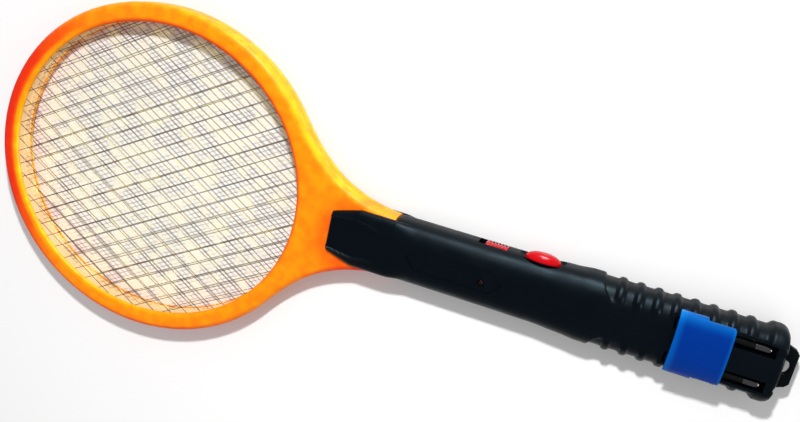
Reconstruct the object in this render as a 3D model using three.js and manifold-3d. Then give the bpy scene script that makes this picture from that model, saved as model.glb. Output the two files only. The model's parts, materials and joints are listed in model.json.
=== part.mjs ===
// Electric fly swatter: an oval racket head with three wire grids, and a ribbed handle that
// holds the cells, the step-up circuit, a slide switch, a push button and a slide-out plug.
//
// Millimetres. While it is being built, +X runs from the head to the end of the handle, +Y is
// the edge with the switch and the button, +Z is the front, and the origin is close to the centre
// of the head on the mid-plane between the front and rear halves.

import * as THREE from 'three';
import Module from 'manifold-3d';
import { LoftGeometry } from 'three/addons/geometries/LoftGeometry.js';
import { mergeVertices } from 'three/addons/utils/BufferGeometryUtils.js';

const wasm = await Module();
wasm.setup();

// ---------------------------------------------------------------- driving dimensions

const GAP = 0.3;                    // clearance between pieces that touch
const SPLIT = GAP / 2;              // each half stops this far from the mid-plane
const WALL = 2.2;                   // moulded wall thickness

const HEAD_X = -1.9;                // centre of the oval head
const OPENING = { length: 94.2, width: 86.9 };    // half axes of the oval opening
const RING_WIDTH = 11;
const FRAME_HALF_DEPTH = 8;
const FRAME_ROUNDING = 2.4;
const RIM_POCKET = 3.7;             // how far the grids' rims reach under the ring
const RIM_WIDTH = 2.8;
const RIM_SETBACK = 0.6;            // from the edge of the opening to a grid's rim
const TAB = { startX: 93.6, endX: 109.5 };        // tab of a grid, in the neck
const LIP_UNDERSIDE = 5.6;          // underside of the lip that holds the front grid
const NECK_END_X = 150.5;
const NECK_HALF_WIDTH = 17.2;
const SPIGOT = { endX: 169, halfWidth: 12.9, halfDepth: 7.6 };

const GRID_THICKNESS = 1.2;
const GUARD_Z = 4.7;                // mid-plane of a guard grid, in front and behind
const WIRE_ANGLE = THREE.MathUtils.degToRad(30);
const COARSE = { pitch: 8, wire: 0.52 };
const FINE = { pitch: 8 / 3, wire: 0.4 };

const HANDLE_START_X = 151.3;
const HANDLE_END_X = 358;
const TONGUE_START_X = 115;
const TONGUE = { endHalfWidth: 11.3, halfWidth: 16.4, shoulderX: 131, endZ: 11.2, rootZ: 13.9 };
const SECTION_POWER = 2.6;          // superellipse exponent of the handle's cross-section
const GRIP_START_X = 266;
// A rib is 2 * crest long on top and 2 * foot at its base; panelEdge is where it ends on the
// front and back, as the sine of the angle around the section.
const RIB = { first: 275, pitch: 9.3, count: 8, crest: 1.6, foot: 2.9, panelEdge: 0.86 };
const REST_PLANE_Z = -13.4;         // flat along the back of the grip

const PIN = { spacing: 19, radius: 2, z: 11, startX: 309, tipX: 351, sleeveRadius: 2 };
const CHANNEL = { halfWidth: 3, floorZ: 7.6, startX: 303.5 };
const SLIDER = { startX: 305.2, notchX: 318.6, endX: 332.4, wideHalf: 16.7, narrowHalf: 15.7 };

const SWITCH_KNOB = { startX: 200.8, endX: 213.2, travel: 3.4, halfDepth: 4.2, topY: 18 };
const BUTTON = { x: 232.4, halfLength: 9.8, halfDepth: 4.9, topY: 20.8, dome: 4.4 };
const SCOOP = { halfLength: 13.2, depth: 2.9, halfDepth: 8.6, y: 18.3 };

const BOARD = { startX: 172, endX: 262, bottomZ: -1.6, lowY: -8.5, highY: 9.5 };
const CELL = { radius: 7.1, startX: 275, length: 48.5, y: 7.4, z: -3.2 };
const LED = { x: 204.7, y: -1.6, radius: 1.5 };

const SHELL_SCREWS = [
  [215, -12.2],
  [267.8, 12],
  [267.8, -12],
  [340, 0],
];
const NECK_SCREWS = [
  [161, 8.8],
  [161, -8.8],
];

// ---------------------------------------------------------------- colours

const finish = (color, roughness, metalness = 0) => ({ color, roughness, metalness });
const ORANGE = finish(0xff9a08, 0.45);
const BLACK = finish(0x15191c, 0.42);
const RED = finish(0xd81f2a, 0.35);
const BLUE = finish(0x0a4aa8, 0.3);
const WIRE = finish(0x4a4540, 0.4, 0.9);
const NICKEL = finish(0xc9cbcc, 0.28, 1);
const BRASS = finish(0xb89243, 0.35, 1);
const STEEL = finish(0x8f9496, 0.35, 1);
const BOARD_TAN = finish(0xb88a4a, 0.7);
const CELL_GREEN = finish(0x3a8f5a, 0.45);
const WHITE = finish(0xe6e2d6, 0.6);
const YELLOW = finish(0xd9b13a, 0.5);
const DARK_GREY = finish(0x2b2d30, 0.55);
const LEAD_RED = finish(0xb3202a, 0.5);
const LEAD_BLACK = finish(0x1c1c1e, 0.5);
const LENS_RED = finish(0x7a0f16, 0.15);

// ---------------------------------------------------------------- solids

function solid(geometry) {
  const bare = new THREE.BufferGeometry();
  bare.setAttribute('position', geometry.attributes.position);
  bare.setIndex(geometry.index);
  const merged = mergeVertices(bare, 1e-4);
  return new wasm.Manifold(new wasm.Mesh({
    numProp: 3,
    vertProperties: merged.attributes.position.array,
    triVerts: new Uint32Array(merged.index.array),
  }));
}

function box(x0, x1, y0, y1, z0, z1) {
  const geometry = new THREE.BoxGeometry(x1 - x0, y1 - y0, z1 - z0);
  geometry.translate((x0 + x1) / 2, (y0 + y1) / 2, (z0 + z1) / 2);
  return solid(geometry);
}

// A round bar along one axis; at gives its centre on the other two axes, in XYZ order.
function rod(axis, from, to, at, radius, sides = 16) {
  const geometry = new THREE.CylinderGeometry(radius, radius, to - from, sides);
  const middle = (from + to) / 2;
  if (axis === 'x') {
    geometry.rotateZ(-Math.PI / 2);
    geometry.translate(middle, at[0], at[1]);
  } else if (axis === 'y') {
    geometry.translate(at[0], middle, at[1]);
  } else {
    geometry.rotateX(Math.PI / 2);
    geometry.translate(at[0], at[1], middle);
  }
  return solid(geometry);
}

function prism(shape, z0, z1, curveSegments = 12) {
  const geometry = new THREE.ExtrudeGeometry(shape, {
    depth: z1 - z0,
    bevelEnabled: false,
    curveSegments,
  });
  geometry.translate(0, 0, z0);
  return solid(geometry);
}

function ellipseShape(halfLength, halfWidth, centerX = 0) {
  const shape = new THREE.Shape();
  shape.absellipse(centerX, 0, halfLength, halfWidth, 0, Math.PI * 2, false);
  return shape;
}

// An oval that lies this far outside the opening in the head.
function headOval(offset) {
  return ellipseShape(OPENING.length + offset, OPENING.width + offset, HEAD_X);
}

// An oval block along Y, for the button and its well.
function ovalAlongY(x, halfLength, halfDepth, y0, y1, segments = 14) {
  const geometry = new THREE.ExtrudeGeometry(ellipseShape(halfLength, halfDepth), {
    depth: y1 - y0,
    bevelEnabled: false,
    curveSegments: segments,
  });
  geometry.rotateX(Math.PI / 2);
  geometry.translate(x, y1, 0);
  return solid(geometry);
}

function ellipsoid(center, radii, widthSegments, heightSegments) {
  const geometry = new THREE.SphereGeometry(1, widthSegments, heightSegments);
  geometry.scale(...radii);
  geometry.translate(...center);
  return solid(geometry);
}

function union(parts) {
  return parts.reduce((sum, part) => sum.add(part));
}

function tube(points, radius, steps, sides) {
  const section = new THREE.Shape();
  for (let side = 0; side < sides; side += 1) {
    const angle = (side / sides) * Math.PI * 2;
    const step = side === 0 ? 'moveTo' : 'lineTo';
    section[step](Math.cos(angle) * radius, Math.sin(angle) * radius);
  }
  const path = new THREE.CatmullRomCurve3(points.map((point) => new THREE.Vector3(...point)));
  return solid(new THREE.ExtrudeGeometry(section, { steps, extrudePath: path }));
}

const FAR = 400;
const frontHalf = box(-FAR, FAR, -FAR, FAR, SPLIT, FAR);
const rearHalf = box(-FAR, FAR, -FAR, FAR, -FAR, -SPLIT);

const swatter = new THREE.Group();

function add(name, manifold, { color, roughness, metalness }) {
  const { vertProperties, triVerts } = manifold.getMesh();
  const geometry = new THREE.BufferGeometry();
  geometry.setAttribute('position', new THREE.BufferAttribute(vertProperties, 3));
  geometry.setIndex(new THREE.BufferAttribute(triVerts, 1));
  const material = new THREE.MeshStandardMaterial({ color, roughness, metalness });
  const mesh = new THREE.Mesh(geometry, material);
  mesh.name = name;
  swatter.add(mesh);
}

// ---------------------------------------------------------------- head frame

// Outline of one side of the ring and neck; the other side is its mirror image.
function frameOutline() {
  const a = OPENING.length + RING_WIDTH;
  const b = OPENING.width + RING_WIDTH;
  const leaveX = 83;
  const leave = Math.acos((leaveX - HEAD_X) / a);
  const leaveY = b * Math.sin(leave);
  const flareX = leaveX + 12.5;
  const flareY = leaveY - 16;
  const neckX = NECK_END_X - 38;
  const neckY = NECK_HALF_WIDTH + 2.5;
  const shape = new THREE.Shape();
  shape.moveTo(NECK_END_X, NECK_HALF_WIDTH);
  shape.bezierCurveTo(neckX, neckY, flareX, flareY, leaveX, leaveY);
  shape.absellipse(HEAD_X, 0, a, b, leave, Math.PI * 2 - leave, false);
  shape.bezierCurveTo(flareX, -flareY, neckX, -neckY, NECK_END_X, -NECK_HALF_WIDTH);
  shape.closePath();
  return shape;
}

function frameBody() {
  const outline = frameOutline();
  outline.holes.push(headOval(0));
  const geometry = new THREE.ExtrudeGeometry(outline, {
    depth: 2 * (FRAME_HALF_DEPTH - FRAME_ROUNDING),
    bevelThickness: FRAME_ROUNDING,
    bevelSize: FRAME_ROUNDING,
    bevelOffset: -FRAME_ROUNDING,
    bevelSegments: 2,
    curveSegments: 22,
  });
  geometry.translate(0, 0, FRAME_ROUNDING - FRAME_HALF_DEPTH);
  const spigot = box(
    NECK_END_X - 4, SPIGOT.endX,
    -SPIGOT.halfWidth, SPIGOT.halfWidth,
    -SPIGOT.halfDepth, SPIGOT.halfDepth,
  );
  return solid(geometry).add(spigot);
}

// What both halves of the frame leave free: the grids' rims, the hollow of the ring and the
// passage for the grids' tabs and leads.
function frameHollow() {
  const pocket = prism(headOval(RIM_POCKET), -LIP_UNDERSIDE, LIP_UNDERSIDE, 20);
  const passage = box(90, SPIGOT.endX + 1, -5.4, 5.4, -LIP_UNDERSIDE, LIP_UNDERSIDE);
  const tabRoom = box(88, 118, -11, 11, -LIP_UNDERSIDE, LIP_UNDERSIDE);
  const ringCore = headOval(RING_WIDTH - WALL);
  ringCore.holes.push(headOval(RIM_POCKET + WALL));
  const core = prism(ringCore, -LIP_UNDERSIDE, LIP_UNDERSIDE, 16);
  return union([pocket, core, passage, tabRoom]);
}

function frameScrewHoles() {
  return union(NECK_SCREWS.map(([x, y]) => rod('z', -20, 20, [x, y], 3.2, 12)));
}

function buildFrame() {
  const body = frameBody().subtract(frameHollow()).subtract(frameScrewHoles());
  add('front_frame', body.intersect(frontHalf), ORANGE);
  add('rear_frame', body.intersect(rearHalf), ORANGE);
}

// ---------------------------------------------------------------- grids

// One straight wire of the lattice, cut to the length of its chord across the rim.
function latticeWire(angle, distance, z, width) {
  const reach = { a: OPENING.length + 1.4, b: OPENING.width + 1.4 };
  const along = new THREE.Vector2(Math.cos(angle), Math.sin(angle));
  const foot = new THREE.Vector2(-Math.sin(angle), Math.cos(angle)).multiplyScalar(distance);
  const p = (along.x / reach.a) ** 2 + (along.y / reach.b) ** 2;
  const q = (along.x * foot.x) / reach.a ** 2 + (along.y * foot.y) / reach.b ** 2;
  const r = (foot.x / reach.a) ** 2 + (foot.y / reach.b) ** 2 - 1;
  const discriminant = q * q - p * r;
  if (discriminant <= 0) {
    return null;
  }
  const halfChord = Math.sqrt(discriminant) / p;
  const middle = foot.addScaledVector(along, -q / p);
  if (halfChord < 6) {
    return null;
  }
  const geometry = new THREE.BoxGeometry(2 * halfChord, width, width);
  geometry.rotateZ(angle);
  geometry.translate(HEAD_X + middle.x, middle.y, z);
  return solid(geometry);
}

function latticeFamily(angle, z, { pitch, wire }) {
  const count = Math.ceil(OPENING.length / pitch);
  const wires = [];
  for (let row = -count; row <= count; row += 1) {
    wires.push(latticeWire(angle, (row + 0.5) * pitch, z, wire));
  }
  return wires.filter((wireSolid) => wireSolid !== null);
}

function grid(name, z, lattice, tabY) {
  const half = GRID_THICKNESS / 2;
  const outline = headOval(RIM_SETBACK + RIM_WIDTH);
  outline.holes.push(headOval(RIM_SETBACK));
  const rim = prism(outline, z - half, z + half, 20);
  const tab = box(TAB.startX, TAB.endX, tabY - 2, tabY + 2, z - half + 0.2, z + half - 0.2);
  const layer = lattice.wire / 2 + 0.03;
  const wires = [
    ...latticeFamily(WIRE_ANGLE, z + layer, lattice),
    ...latticeFamily(-WIRE_ANGLE, z - layer, lattice),
  ];
  add(name, union([rim, tab, ...wires]), WIRE);
}

function spacerRing(name, z0, z1) {
  const outline = headOval(RIM_SETBACK + RIM_WIDTH);
  outline.holes.push(headOval(RIM_SETBACK + GAP));
  const ring = prism(outline, z0, z1, 20);
  const tabNotch = box(TAB.startX - 6, TAB.startX + 8, -10.5, 10.5, z0 - 1, z1 + 1);
  add(name, ring.subtract(tabNotch), WHITE);
}

function buildGrids() {
  grid('front_guard_grid', GUARD_Z, COARSE, 7.5);
  grid('centre_grid', 0, FINE, 0);
  grid('rear_guard_grid', -GUARD_Z, COARSE, -7.5);
  const inside = GRID_THICKNESS / 2 + GAP;
  spacerRing('front_spacer_ring', inside, GUARD_Z - inside);
  spacerRing('rear_spacer_ring', inside - GUARD_Z, -inside);
}

// ---------------------------------------------------------------- handle shells

const HANDLE_SECTIONS = [
  // x, half width, half depth
  [HANDLE_START_X, 17.4, 13.4],
  [156, 17.5, 13.9],
  [205, 17.5, 14],
  [235, 17.7, 14],
  [250, 18.6, 14.5],
  [259, 19.5, 15.1],
  [GRIP_START_X - 1.2, 19.5, 15.2],
  [GRIP_START_X, 18.4, 14.1],
];
const GRIP_END_SECTIONS = [
  [347.8, 18.4, 14.1],
  [350, 20.2, 14.1],
  [353, 20.4, 14.1],
  [356, 19.4, 13.6],
  [HANDLE_END_X, 16.8, 12],
];
const CREST = { halfWidth: 19.5, halfDepth: 15.1 };
const FOOT = { halfWidth: 18.4, halfDepth: 14.1 };

function sectionPoint(x, angle, halfWidth, halfDepth) {
  const power = 2 / SECTION_POWER;
  const y = halfWidth * Math.sign(Math.cos(angle)) * Math.abs(Math.cos(angle)) ** power;
  const z = halfDepth * Math.sign(Math.sin(angle)) * Math.abs(Math.sin(angle)) ** power;
  return new THREE.Vector3(x, y, z);
}

function handleRing(x, halfWidth, halfDepth, segments = 24) {
  const points = [];
  for (let step = 0; step < segments; step += 1) {
    points.push(sectionPoint(x, (step / segments) * Math.PI * 2, halfWidth, halfDepth));
  }
  return points;
}

// Ribs stand proud on the sides and shoulders and leave a flat panel on the front.
function ribRing(x, crest, segments = 24) {
  return handleRing(x, FOOT.halfWidth, FOOT.halfDepth, segments).map((foot, step) => {
    const angle = (step / segments) * Math.PI * 2;
    const onShoulder = Math.abs(Math.sin(angle)) < RIB.panelEdge;
    if (!crest || !onShoulder) {
      return foot;
    }
    return sectionPoint(x, angle, CREST.halfWidth, CREST.halfDepth);
  });
}

function handleBody() {
  const sections = HANDLE_SECTIONS.map(([x, w, h]) => handleRing(x, w, h));
  for (let rib = 0; rib < RIB.count; rib += 1) {
    const x = RIB.first + rib * RIB.pitch;
    sections.push(ribRing(x - RIB.foot, false));
    sections.push(ribRing(x - RIB.crest, true));
    sections.push(ribRing(x + RIB.crest, true));
    sections.push(ribRing(x + RIB.foot, false));
  }
  sections.push(...GRIP_END_SECTIONS.map(([x, w, h]) => handleRing(x, w, h)));
  return solid(new LoftGeometry(sections, { capStart: true, capEnd: true }));
}

function handleHollow() {
  const rings = [
    handleRing(SPIGOT.endX + GAP, 15.2, 11.7),
    handleRing(235, 15.4, 11.8),
    handleRing(262, 16.2, 11.9),
    handleRing(HANDLE_END_X - WALL - 1, 16.2, 11.9),
  ];
  return solid(new LoftGeometry(rings, { capStart: true, capEnd: true }));
}

// The raised tongue over the flat of the neck, widening from its blunt end to the handle.
function tongue() {
  const outline = [
    [TONGUE_START_X, TONGUE.endHalfWidth],
    [TONGUE.shoulderX, TONGUE.halfWidth],
    [HANDLE_START_X + 8, TONGUE.halfWidth],
  ];
  const shape = new THREE.Shape();
  shape.moveTo(...outline[0]);
  outline.slice(1).forEach((point) => shape.lineTo(...point));
  outline.reverse().forEach(([x, y]) => shape.lineTo(x, -y));
  const slab = prism(shape, FRAME_HALF_DEPTH + GAP, TONGUE.rootZ, 4);
  const stations = [
    [TONGUE_START_X - 2, TONGUE.endHalfWidth + 1.6, TONGUE.endZ],
    [TONGUE.shoulderX, TONGUE.halfWidth + 1.5, 12.4],
    [HANDLE_START_X + 10, TONGUE.halfWidth + 2, TONGUE.rootZ],
  ];
  const crown = solid(new LoftGeometry(
    stations.map(([x, w, h]) => handleRing(x, w, h)),
    { capStart: true, capEnd: true },
  ));
  return slab.intersect(crown);
}

function neckSocket() {
  return box(
    HANDLE_START_X - 1, SPIGOT.endX + GAP,
    -SPIGOT.halfWidth - GAP, SPIGOT.halfWidth + GAP,
    -SPIGOT.halfDepth - GAP, SPIGOT.halfDepth + GAP,
  );
}

function channelWalls() {
  const half = CHANNEL.halfWidth + 1.6;
  const walls = [1, -1].map((side) => {
    const y = side * (PIN.spacing / 2);
    return box(CHANNEL.startX - 1.5, HANDLE_END_X - 1, y - half, y + half, CHANNEL.floorZ - 1.5, 12.6);
  });
  return union(walls);
}

function channels() {
  const cuts = [1, -1].map((side) => {
    const y = side * (PIN.spacing / 2);
    return box(CHANNEL.startX, HANDLE_END_X + 1, y - CHANNEL.halfWidth, y + CHANNEL.halfWidth,
      CHANNEL.floorZ, 20);
  });
  return union(cuts);
}

function switchSlot() {
  const { startX, endX, travel, halfDepth } = SWITCH_KNOB;
  return box(startX - travel - GAP, endX + GAP, 10, 20, -halfDepth - GAP, halfDepth + GAP);
}

function buttonWell() {
  const { x, halfLength, halfDepth } = BUTTON;
  return ovalAlongY(x, halfLength + 2.3, halfDepth + 2.3, 10.2, 16.4);
}

function buttonCut() {
  const { x, halfLength, halfDepth } = BUTTON;
  const scoop = ellipsoid([x, SCOOP.y, 0], [SCOOP.halfLength, SCOOP.depth, SCOOP.halfDepth], 18, 12);
  return scoop.add(ovalAlongY(x, halfLength + GAP, halfDepth + GAP, 8, 20));
}

function loopSlot() {
  const inner = box(HANDLE_END_X - 6.3, HANDLE_END_X - 2.1, -13.9, 13.9, -2, 2);
  const mouth = box(HANDLE_END_X - 6, HANDLE_END_X + 1, -12.6, 12.6, -2, 2);
  return inner.add(mouth);
}

function bosses(screws, outerRadius) {
  return union(screws.map(([x, y]) => rod('z', -12.4, 12.4, [x, y], outerRadius, 10)));
}

// Screws enter from the back: a sunk head, a clear hole through the rear boss, a pilot hole in
// the front one.
function screwHoles(screws) {
  const headRoom = screws.map(([x, y]) => rod('z', -20, -9.7, [x, y], 2.4, 10));
  const shankRoom = screws.map(([x, y]) => rod('z', -10, 8.4, [x, y], 1.4, 6));
  return union([...headRoom, ...shankRoom]);
}

// Recessed outline on the front of the slim part, where a maker would print a label.
function labelRecess() {
  const shape = new THREE.Shape();
  const [left, right, half, chamfer] = [162, 216, 6.4, 6];
  shape.moveTo(left, 0);
  shape.lineTo(left + chamfer, half);
  shape.lineTo(right - chamfer, half);
  shape.lineTo(right, 0);
  shape.lineTo(right - chamfer, -half);
  shape.lineTo(left + chamfer, -half);
  shape.closePath();
  return prism(shape, 13.5, 16, 2);
}

function buildShells() {
  const screws = [...SHELL_SCREWS, ...NECK_SCREWS];
  const restTrim = box(HANDLE_START_X - 5, HANDLE_END_X + 5, -30, 30, -30, REST_PLANE_Z);
  const outer = handleBody();
  const lining = union([bosses(screws, 2.9), buttonWell(), channelWalls()]).intersect(outer);
  const cuts = union([
    neckSocket(), switchSlot(), buttonCut(), loopSlot(), screwHoles(screws),
  ]);
  const hollowed = outer.subtract(handleHollow()).add(lining).subtract(cuts);
  const ledHole = rod('z', 5, 20, [LED.x, LED.y], LED.radius + GAP, 16);
  const front = hollowed.intersect(frontHalf).add(tongue());
  add('front_shell', front.subtract(channels()).subtract(ledHole).subtract(labelRecess()), BLACK);
  const rearTongue = tongue().mirror([0, 0, 1]);
  const neckHoles = screwHoles(NECK_SCREWS);
  const rear = hollowed.intersect(rearHalf).add(rearTongue);
  add('rear_shell', rear.subtract(neckHoles).subtract(restTrim), BLACK);
}

function buildHangLoop() {
  const shape = new THREE.Shape();
  shape.moveTo(HANDLE_END_X - 5, 12.3);
  shape.lineTo(HANDLE_END_X + 1.5, 12.1);
  shape.lineTo(HANDLE_END_X + 6.2, 10.2);
  shape.lineTo(HANDLE_END_X + 8, 8.2);
  shape.lineTo(HANDLE_END_X + 8, -8.2);
  shape.lineTo(HANDLE_END_X + 6.2, -10.2);
  shape.lineTo(HANDLE_END_X + 1.5, -12.1);
  shape.lineTo(HANDLE_END_X - 5, -12.3);
  shape.closePath();
  const hole = new THREE.Path();
  hole.moveTo(HANDLE_END_X + 0.4, -3.6);
  hole.lineTo(HANDLE_END_X + 3, -3.6);
  hole.quadraticCurveTo(HANDLE_END_X + 5.6, -3.6, HANDLE_END_X + 5.6, 0);
  hole.quadraticCurveTo(HANDLE_END_X + 5.6, 3.6, HANDLE_END_X + 3, 3.6);
  hole.lineTo(HANDLE_END_X + 0.4, 3.6);
  hole.closePath();
  shape.holes.push(hole);
  const flange = box(HANDLE_END_X - 6, HANDLE_END_X - 2.4, -13.6, 13.6, -1.7, 1.7);
  add('hang_loop', prism(shape, -1.7, 1.7, 4).add(flange), BLACK);
}

// ---------------------------------------------------------------- switch and button

function buildSwitch() {
  const { startX, endX, halfDepth, topY } = SWITCH_KNOB;
  const pad = box(startX, endX, 13, topY - 0.7, -halfDepth, halfDepth);
  const ridges = [];
  const pitch = (endX - startX) / 7;
  for (let ridge = 0; ridge < 7; ridge += 1) {
    const x = startX + ridge * pitch;
    ridges.push(box(x, x + pitch * 0.55, topY - 1, topY, -halfDepth, halfDepth));
  }
  const flange = box(193.6, 218.2, 12.7, 14, -4.9, 4.9);
  const stem = box(205.6, 208.7, 10, 13, -1.3, 1.3);
  add('switch_knob', union([pad, flange, stem, ...ridges]), RED);
  const can = box(200.2, 213.4, 5.8, 12.3, -3.4, 3.4);
  const track = box(201.9, 209, 9.6, 13, -1.6, 1.6);
  add('slide_switch_body', can.subtract(track), STEEL);
}

function buildButton() {
  const { x, halfLength, halfDepth, topY, dome } = BUTTON;
  const crown = ellipsoid([x, topY - dome, 0], [halfLength, dome, halfDepth], 20, 10);
  const skirt = ovalAlongY(x, halfLength, halfDepth, 9.2, topY - dome, 10);
  const flange = ovalAlongY(x, halfLength + 1.3, halfDepth + 1.1, 7.9, 9.6, 10);
  const stem = rod('y', 5.4, 8, [x, 0], 1.9, 12);
  add('push_button', union([crown, skirt, flange, stem]), RED);
  const can = box(x - 3.2, x + 3.2, -1.2, 2.8, -3.2, 3.2);
  add('push_switch_body', can.subtract(rod('y', -0.1, 3, [x, 0], 2, 12)), DARK_GREY);
  add('push_switch_plunger', rod('y', 2, 5.1, [x, 0], 1.7, 12), YELLOW);
}

function buildButtonSpring() {
  const turns = 4;
  const points = [];
  for (let step = 0; step <= turns * 8; step += 1) {
    const angle = (step / 8) * Math.PI * 2;
    const y = 3.4 + (step / (turns * 8)) * 3.9;
    points.push([BUTTON.x + Math.cos(angle) * 2.7, y, Math.sin(angle) * 2.7]);
  }
  add('button_spring', tube(points, 0.24, turns * 9, 4), NICKEL);
}

// ---------------------------------------------------------------- plug

// A saddle over the grip: it follows the crest of the ribs with a running clearance.
function sliderSaddle(endX, halfWidth) {
  const startX = SLIDER.startX;
  const outer = [startX, endX].map((x) => handleRing(x, 21.4, 17.4));
  const inner = [startX - 1, endX + 1].map((x) => handleRing(x, 20.9, 15.7));
  const skin = solid(new LoftGeometry(outer, { capStart: true, capEnd: true }))
    .subtract(solid(new LoftGeometry(inner, { capStart: true, capEnd: true })));
  return skin.intersect(box(startX, endX, -halfWidth, halfWidth, 5, 20));
}

function buildSlider() {
  const { startX, notchX, endX, wideHalf, narrowHalf } = SLIDER;
  const wide = sliderSaddle(notchX, wideHalf);
  const narrow = sliderSaddle(endX, narrowHalf);
  const filler = box(startX, endX, -8.6, 8.6, 14.5, 16.6);
  const legs = [1, -1].map((side) => {
    const y = side * (PIN.spacing / 2);
    return box(startX, endX, y - 2.6, y + 2.6, PIN.z - PIN.radius - 0.4, 16.2);
  });
  const body = union([wide, narrow, filler, ...legs]);
  const sockets = [1, -1].map((side) => {
    const at = [side * (PIN.spacing / 2), PIN.z];
    return rod('x', PIN.startX - GAP, endX + 1, at, PIN.sleeveRadius + GAP);
  });
  add('plug_slider', body.subtract(union(sockets)), BLUE);
}

function buildPins() {
  [['left', 1], ['right', -1]].forEach(([hand, side]) => {
    const at = [side * (PIN.spacing / 2), PIN.z];
    const sleeveEnd = SLIDER.endX + 10.2;
    const shank = rod('x', PIN.startX, sleeveEnd - 0.2, at, PIN.radius - 0.8);
    const tip = rod('x', sleeveEnd + GAP, PIN.tipX - 1, at, PIN.radius);
    const nose = new THREE.CylinderGeometry(PIN.radius - 0.7, PIN.radius, 1, 16);
    nose.rotateZ(-Math.PI / 2);
    nose.translate(PIN.tipX - 0.5, ...at);
    const joint = rod('x', sleeveEnd - 1, sleeveEnd + 1, at, PIN.radius - 0.8);
    add(`plug_pin_${hand}`, union([shank, joint, tip, solid(nose)]), NICKEL);
    const sleeve = rod('x', PIN.startX + 1, sleeveEnd, at, PIN.sleeveRadius);
    const bore = rod('x', PIN.startX, sleeveEnd + 1, at, PIN.radius - 0.5);
    add(`pin_sleeve_${hand}`, sleeve.subtract(bore), BLACK);
    const y = at[0];
    const leaf = box(334, 346, y - 1.4, y + 1.4, CHANNEL.floorZ + GAP, CHANNEL.floorZ + 0.7);
    add(`plug_contact_${hand}`, leaf, BRASS);
  });
}

// ---------------------------------------------------------------- cells and circuit

function buildCells() {
  [1, -1].forEach((side, index) => {
    const at = [side * CELL.y, CELL.z];
    const can = rod('x', CELL.startX, CELL.startX + CELL.length, at, CELL.radius, 20);
    const nubX = side > 0 ? CELL.startX + CELL.length : CELL.startX - 1;
    const nub = rod('x', nubX - 0.1, nubX + 1.1, at, 2.6, 12);
    add(`battery_cell_${index + 1}`, can.add(nub), CELL_GREEN);
  });
  const plateX = CELL.startX + CELL.length + 1.5;
  const plate = box(plateX, plateX + 0.4, -CELL.y - 3, CELL.y + 3, CELL.z - 2, CELL.z + 2);
  add('cell_tie_plate', plate, NICKEL);
}

function buildBoard() {
  const { startX, endX, bottomZ, lowY, highY } = BOARD;
  const slab = box(startX, endX, lowY, highY, bottomZ, 0);
  const buttonNotch = box(BUTTON.x - 12.5, BUTTON.x + 12.5, -1.6, 12, -3, 1);
  const switchNotch = box(199.6, 214, 5.4, 12, -3, 1);
  const holes = [[193, -4.5], [258, -4.5]].map(([x, y]) => rod('z', -3, 1, [x, y], 1.2, 10));
  add('circuit_board', slab.subtract(union([buttonNotch, switchNotch, ...holes])), BOARD_TAN);
}

function buildTransformer() {
  const core = box(175, 189, -7, 7, GAP, 9.6);
  const windows = [
    box(174, 190, -5.2, -2.2, 2.2, 7.8),
    box(174, 190, 2.2, 5.2, 2.2, 7.8),
  ];
  add('transformer_core', core.subtract(union(windows)), DARK_GREY);
  const coil = box(173.2, 190.8, -4.9, 4.9, 2.5, 7.5);
  const leg = box(172, 192, -2.5, 2.5, 1.9, 8.1).intersect(box(174.7, 189.3, -3, 3, 0, 10));
  const cheeks = coil.subtract(leg);
  const clear = box(174.7, 189.3, -2.5, 2.5, 1, 9);
  add('transformer_winding', cheeks.subtract(clear), BRASS);
}

// A part with a round body and two legs down to the board.
function axialPart(name, x, y, length, radius, look) {
  const z = radius + 0.9;
  const body = rod('x', x - length / 2, x + length / 2, [y, z], radius, 12);
  const legs = [-1, 1].map((end) => {
    const outX = x + end * (length / 2 + 1.4);
    const innerX = x + end * (length / 2 - 0.2);
    const wire = box(Math.min(outX, innerX), Math.max(outX, innerX), y - 0.3, y + 0.3, z - 0.3, z + 0.3);
    const down = box(outX - 0.3, outX + 0.3, y - 0.3, y + 0.3, GAP, z + 0.3);
    return wire.add(down);
  });
  add(name, union([body, ...legs]), look);
}

function transistor() {
  const [x, y] = [196.6, -5.6];
  const can = rod('z', 3.4, 8, [x, y], 2.3, 16);
  const flat = box(x - 4, x + 4, y - 4, y - 1.4, 3, 9);
  const legs = [-1.27, 0, 1.27].map((dx) => box(x + dx - 0.25, x + dx + 0.25, y - 0.25, y + 0.25, GAP, 4));
  add('transistor', union([can.subtract(flat), ...legs]), DARK_GREY);
}

function buildCircuit() {
  buildTransformer();
  transistor();
  add('high_voltage_capacitor', box(216.2, 218.8, 0, 8.6, GAP, 9), BRASS);
  add('charge_capacitor', box(246.5, 257, 0, 6.6, GAP, 9.4), YELLOW);
  axialPart('rectifier_diode_1', 224, -5.8, 4.4, 1.2, DARK_GREY);
  axialPart('rectifier_diode_2', 233, -5.8, 4.4, 1.2, DARK_GREY);
  axialPart('rectifier_diode_3', 242, -5.8, 4.4, 1.2, DARK_GREY);
  axialPart('bleed_resistor', 250.6, -5.8, 4.6, 1.1, WHITE);
  const lens = rod('z', 7, 13, [LED.x, LED.y], LED.radius, 12);
  const dome = ellipsoid([LED.x, LED.y, 12.9], [LED.radius, LED.radius, 1], 12, 6);
  const legs = [-0.6, 0.6].map((dx) => box(LED.x + dx - 0.25, LED.x + dx + 0.25,
    LED.y - 0.25, LED.y + 0.25, GAP, 7.4));
  add('charge_light', union([lens, dome, ...legs]), LENS_RED);
}

// ---------------------------------------------------------------- screws and leads

function screw(name, x, y) {
  const head = rod('z', -12.1, -10, [x, y], 2.1, 10);
  const shank = rod('z', -10.1, 7.8, [x, y], 1, 6);
  const recess = union([
    box(x - 1.2, x + 1.2, y - 0.3, y + 0.3, -13, -11.2),
    box(x - 0.3, x + 0.3, y - 1.2, y + 1.2, -13, -11.2),
  ]);
  add(name, head.add(shank).subtract(recess), STEEL);
}

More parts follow.
